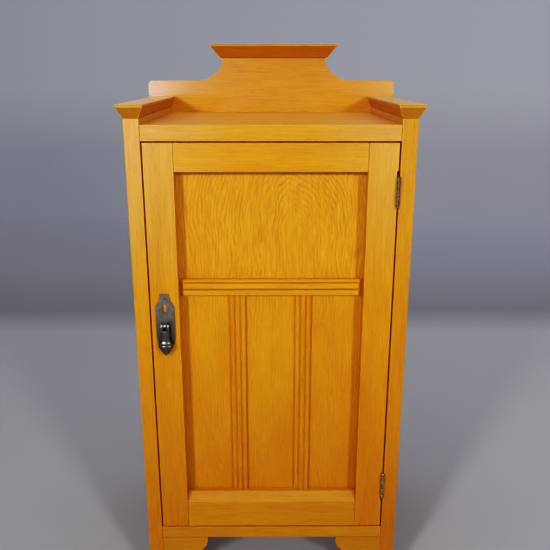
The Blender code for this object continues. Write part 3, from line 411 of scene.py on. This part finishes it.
def metal(name, dark, light, roughness, scale=300.0, pivot=None, shaded_below=False):
    """Old metal: dark in patches, with three painted highlights of bright bare metal at a pivot.
    Below the pivot it can darken as a painted shadow of the drop.
    """
    made, tree, shader = new_material(name)
    place = add_node(tree, "ShaderNodeTexCoord").outputs["Object"]
    patches = noise(tree, place, scale, 3.0, 0.6)
    color = ramp(tree, patches, [(0.35, dark), (0.65, light)])
    # painted shadow of the drop, darker below the pivot
    if shaded_below:
        height = coordinates(tree, "Object")["Z"]
        lit = remap(tree, height, pivot.z - SHADOW_REACH, pivot.z + SHADOW_REACH, 0.4, 1.0)
        color = mix(tree, lit, tuple(part * SHADOW_SHARE for part in dark), color)
    # painted highlights at the pivot
    if pivot:
        color = mix(tree, glint_spots(tree, pivot), color, GLINT_METAL)
    tree.links.new(color, shader.inputs["Base Color"])
    dull = remap(tree, patches, 0.3, 0.7, roughness + 0.06, roughness - 0.05)
    tree.links.new(dull, shader.inputs["Roughness"])
    shader.inputs["Metallic"].default_value = 1.0
    bump(tree, patches, shader, 0.08, 0.1 * MM)
    return made


# ---------------------------------------------------------------- pieces


GRAIN = {  # the boards whose fibres run along each axis
    "X": ("top_board", "bottom_board", "shelf", "gallery_back", "crown_cap", "door_rail_top",
          "door_rail_bottom", "door_moulding_cross", "bracket_left", "bracket_right"),
    "Y": ("cap_left", "cap_right"),
    "Z": ("side_left", "side_right", "door_stile_left", "door_stile_right", "door_moulding_left",
          "door_moulding_right", "bracket_block_left", "bracket_block_right"),
}
SHIFT_PER_BOARD = 0.37  # so that no two boards share a figure
# Per-board tones for slopes and fronts, then for level tops. The crown's and caps' slope tints are
# painted shade on faces that look down, and every level-top tint is painted light and sheen on
# faces that look up.
TINTS = {  # for slopes and fronts, then for level tops
    "crown_cap": ((0.65, 0.48, 0.36), (0.87, 1.0, 10.0)),
    "cap_left": ((0.73, 0.63, 0.8), (1.38, 1.66, 12.0)),
    "cap_right": ((0.75, 0.655, 0.9), (1.13, 1.4, 8.0)),
    "gallery_back": ((0.985, 0.925, 0.29), None),
    "top_board": ((0.98, 0.96, 1.1), (1.10, 1.10, 2.9)),
    "bottom_board": ((1.0, 1.16, 1.6), None),
    "bracket_left": ((0.95, 1.1, 1.8), None),
    "bracket_right": ((0.95, 1.1, 1.8), None),
    "door_rail_bottom": ((1.03, 1.14, 1.2), (1.08, 1.27, 5.5)),
    "door_rail_top": ((1.0, 0.93, 0.55), None),
    "side_left": ((1.0, 1.01, 1.15), None),
    "side_right": ((0.95, 0.905, 1.05), None),
    "door_stile_right": ((1.02, 1.0, 0.85), None),
    "door_moulding_cross": ((1.03, 1.12, 1.3), None),
}
STOP_TINT = (0.85, 0.72, 0.6)
BOARD_ARRIS = 0.8 * MM
DROP_ARRIS = 1.0 * MM
METAL_ARRIS = 0.4 * MM
SHARP_ANGLE = math.radians(30)  # edges flatter than this stay as they are


def dress(node, material):
    """Gives a CAD node a material in place of its own."""
    data = NODES[node].data
    data.materials.clear()
    data.materials.append(material)


def ease(node, width, segments=2, wear_and_glint=None):
    """Rounds a CAD node's arrises with modifiers; its mesh stays as it is."""
    piece = NODES[node]
    weld = piece.modifiers.new("weld", "WELD")
    weld.merge_threshold = 0.01 * MM
    bevel = piece.modifiers.new("arris", "BEVEL")
    bevel.width = width
    bevel.segments = segments
    bevel.limit_method = "ANGLE"
    bevel.angle_limit = SHARP_ANGLE
    bevel.harden_normals = True
    # the bevel's faces take the paler arris material: wear, and a painted highlight
    if wear_and_glint:
        piece.data.materials.append(wear_and_glint)
        bevel.material = 1


def dress_boards():
    """The polished oak: every board in GRAIN, and the panel."""
    wear_and_glint = worn_and_glinting_arris("worn_and_glinting_arris")
    shift = 0.0
    for grain, boards in GRAIN.items():
        for node in boards:
            shift += SHIFT_PER_BOARD
            tint, lit_top_tint = TINTS.get(node, (WHITE, None))
            dress(node, oak(node, grain, shift, tint, lit_top_tint, hazy=node == "gallery_back"))
            ease(node, BOARD_ARRIS, wear_and_glint=wear_and_glint)
    dress("door_panel", figured_oak("figured_oak"))


def dress_hidden_wood():
    """The door stops, the shelf's bearers and the back boards, whose arrises are left sharp."""
    stop = oak("stop", "Z", 0.2, STOP_TINT)
    level = pine("pine_level", "Y")
    upright = pine("pine_upright", "Z")
    for node in NODES:
        if node.startswith("shelf_bearer"):
            dress(node, level)
        elif node.startswith("back_board"):
            dress(node, upright)
        elif node.startswith("door_stop"):
            dress(node, stop)


def dress_metal():
    """The handle, hinges, catch and screws."""
    low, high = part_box("handle_pivot_pin")
    pivot = (low + high) / 2
    bronze = metal("bronze", (0.20, 0.185, 0.16), (0.34, 0.315, 0.275), 0.34, 90, pivot, True)
    dark_bronze = metal("dark_bronze", (0.12, 0.105, 0.09), (0.22, 0.20, 0.18), 0.30, 120, pivot)
    brass = metal("old_brass", (0.26, 0.17, 0.08), (0.64, 0.50, 0.32), 0.27)
    steel = metal("steel", (0.35, 0.35, 0.36), (0.55, 0.55, 0.56), 0.35)
    for node in NODES:
        if node.startswith("handle"):
            dress(node, bronze if "plate" in node else dark_bronze)
            ease(node, DROP_ARRIS if node == "handle_drop" else METAL_ARRIS, 3)
        elif node.startswith(("gallery_screw", "catch_spring", "catch_ball")):
            dress(node, steel)
        elif node.startswith(("hinge", "strike", "catch_barrel")):
            dress(node, brass)


# ---------------------------------------------------------------- floor, light and camera


BACKDROP_Y = 2.75
BACKDROP_REACH = 7  # to each side
BACKDROP_TOP = 3.2
FLOOR_REACH = 9

# The tone across floor and wall, which evens out again further right, where the wall ends
ACROSS = (-1.4, 6.0)  # X
TONE_ACROSS = [(0.0, (0.79, 0.79, 0.79)), (0.38, WHITE), (1.0, (0.68, 0.68, 0.68))]
UNDER = (-0.6, 0.6)  # X, under the cupboard
FLOOR_UNDER = [(0.0, (0.40, 0.40, 0.425)), (1.0, (0.468, 0.468, 0.50))]
SHADE_STARTS = (0.95, 1.15)  # Y
FLOOR_SHADE = [(0.0, WHITE), (1.0, (0.55, 0.55, 0.56))]
FLOOR_GLOW = [  # from Y = 0 to the wall
    (0.0, BLACK), (0.345, (0.070, 0.068, 0.074)), (0.42, (0.078, 0.078, 0.089)),
    (0.60, (0.127, 0.128, 0.147)), (1.0, (0.178, 0.180, 0.208)),
]
WALL_RISES = (0.0, 1.2)  # Z
WALL_GLOW = [
    (0.0, (0.214, 0.217, 0.250)), (0.32, (0.218, 0.221, 0.255)), (0.6, (0.268, 0.276, 0.315)),
    (1.0, (0.268, 0.276, 0.323)),
]

# The lights' places, from the front of the tray
LAMP_AWAY = 2.2
LAMP_ASIDE = 1.245
LAMP_ABOVE = 0.632
OVERHEAD = (0, 0.1, TRAY + 1.7)
AIM = (0, FRONT, TRAY - 0.2)
SHINE_ASIDE = 0.82
SHINE_COLOR = (0.72, 0.92, 1.0)

# The camera's place, from the middle of the tray's front edge
CAMERA_ASIDE = 2.2 * MM
CAMERA_AWAY = 920 * MM
CAMERA_ABOVE = 68.3 * MM
CAMERA_DOWN = math.radians(16.93)
CAMERA_TURN = math.radians(-0.21)
CAMERA_LENS = 43.67
CAMERA_SENSOR = 36

TONE_CURVE = ((0.04, 0.014), (0.12, 0.068), (0.2, 0.155), (0.3, 0.29), (0.7, 0.70))


def sheet(name, corners, look):
    """A flat stage piece between four corners."""
    mesh = bpy.data.meshes.new(name)
    mesh.from_pydata(corners, [], [(0, 1, 2, 3)])
    mesh.materials.append(look)
    made = bpy.data.objects.new(name, mesh)
    bpy.context.scene.collection.objects.link(made)


def glow(tree, shader, color, x):
    """Lets a stage surface give off a colour, brighter to the right."""
    levels = ramp(tree, remap(tree, x, *ACROSS), TONE_ACROSS)
    tree.links.new(tinted(tree, color, levels), shader.inputs["Emission Color"])
    shader.inputs["Emission Strength"].default_value = 1.0


def floor():
    """A pale floor that falls into shade behind the cupboard."""
    look, tree, shader = new_material("floor")
    x, y, _ = coordinates(tree, "Object")
    pale = ramp(tree, remap(tree, x, *UNDER), FLOOR_UNDER)
    shade = ramp(tree, remap(tree, y, *SHADE_STARTS), FLOOR_SHADE)
    tree.links.new(tinted(tree, pale, shade), shader.inputs["Base Color"])
    shader.inputs["Roughness"].default_value = 0.8
    glow(tree, shader, ramp(tree, remap(tree, y, 0.0, BACKDROP_Y), FLOOR_GLOW), x)
    signs = ((-1, -1), (1, -1), (1, 1), (-1, 1))
    sheet("floor", [(FLOOR_REACH * a, FLOOR_REACH * b, FLOOR) for a, b in signs], look)


def backdrop():
    """A plain grey wall well behind the cupboard, lit evenly and paler higher up."""
    look, tree, shader = new_material("backdrop")
    x, _, z = coordinates(tree, "Object")
    glow(tree, shader, ramp(tree, remap(tree, z, *WALL_RISES), WALL_GLOW), x)
    shader.inputs["Base Color"].default_value = (0.12, 0.12, 0.13, 1)
    shader.inputs["Roughness"].default_value = 0.9
    corners = [(-1, FLOOR), (1, FLOOR), (1, BACKDROP_TOP), (-1, BACKDROP_TOP)]
    sheet("backdrop", [(BACKDROP_REACH * side, BACKDROP_Y, z) for side, z in corners], look)


def area_light(name, place, aim, size, power, color=WHITE):
    """A square lamp, aimed at a point."""
    light = bpy.data.lights.new(name, "AREA")
    light.size = size
    light.energy = power
    light.color = color
    made = bpy.data.objects.new(name, light)
    bpy.context.scene.collection.objects.link(made)
    made.location = place
    made.rotation_euler = (Vector(aim) - Vector(place)).to_track_quat("-Z", "Y").to_euler()
    return made


def light_the_room():
    """Two lamps, a soft light overhead, two that show in the varnish only, and a dim world."""
    for name, side, power in (("left_lamp", -1, 35), ("right_lamp", 1, 27)):
        place = (side * LAMP_ASIDE, FRONT - LAMP_AWAY, TRAY + LAMP_ABOVE)
        area_light(name, place, AIM, 0.35, power)
    area_light("overhead", OVERHEAD, AIM, 1.6, 14)
    for name, side, power in (("left_shine", -1, 8.5), ("right_shine", 1, 2.2)):
        place = (side * SHINE_ASIDE, FRONT - LAMP_AWAY, TRAY)
        shine = area_light(name, place, (0, FRONT, TRAY), 0.12, power, SHINE_COLOR)
        shine.visible_diffuse = False
    world = bpy.data.worlds.new("studio")
    world.use_nodes = True
    background = world.node_tree.nodes["Background"]
    background.inputs["Color"].default_value = (0.80, 0.81, 0.85, 1)
    background.inputs["Strength"].default_value = 0.22
    bpy.context.scene.world = world


def camera():
    """The photograph's view: from in front, a little above the tray."""
    data = bpy.data.cameras.new("camera")
    data.sensor_width = CAMERA_SENSOR
    data.lens = CAMERA_LENS
    made = bpy.data.objects.new("camera", data)
    bpy.context.scene.collection.objects.link(made)
    made.location = (CAMERA_ASIDE, FRONT - CAMERA_AWAY, TRAY + CAMERA_ABOVE)
    made.rotation_euler = (math.radians(90) - CAMERA_DOWN, 0, CAMERA_TURN)
    bpy.context.scene.camera = made


def tone_curve():
    """The photograph's contrast: dull tones and shadows are deepened, and bright tones kept."""
    view = bpy.context.scene.view_settings
    view.view_transform = "Standard"
    view.use_curve_mapping = True
    curve = view.curve_mapping.curves[3]  # all three colours together
    for tone, shown in TONE_CURVE:
        curve.points.new(tone, shown)
    view.curve_mapping.update()


dress_boards()
dress_hidden_wood()
dress_metal()
floor()
backdrop()
light_the_room()
camera()
tone_curve()
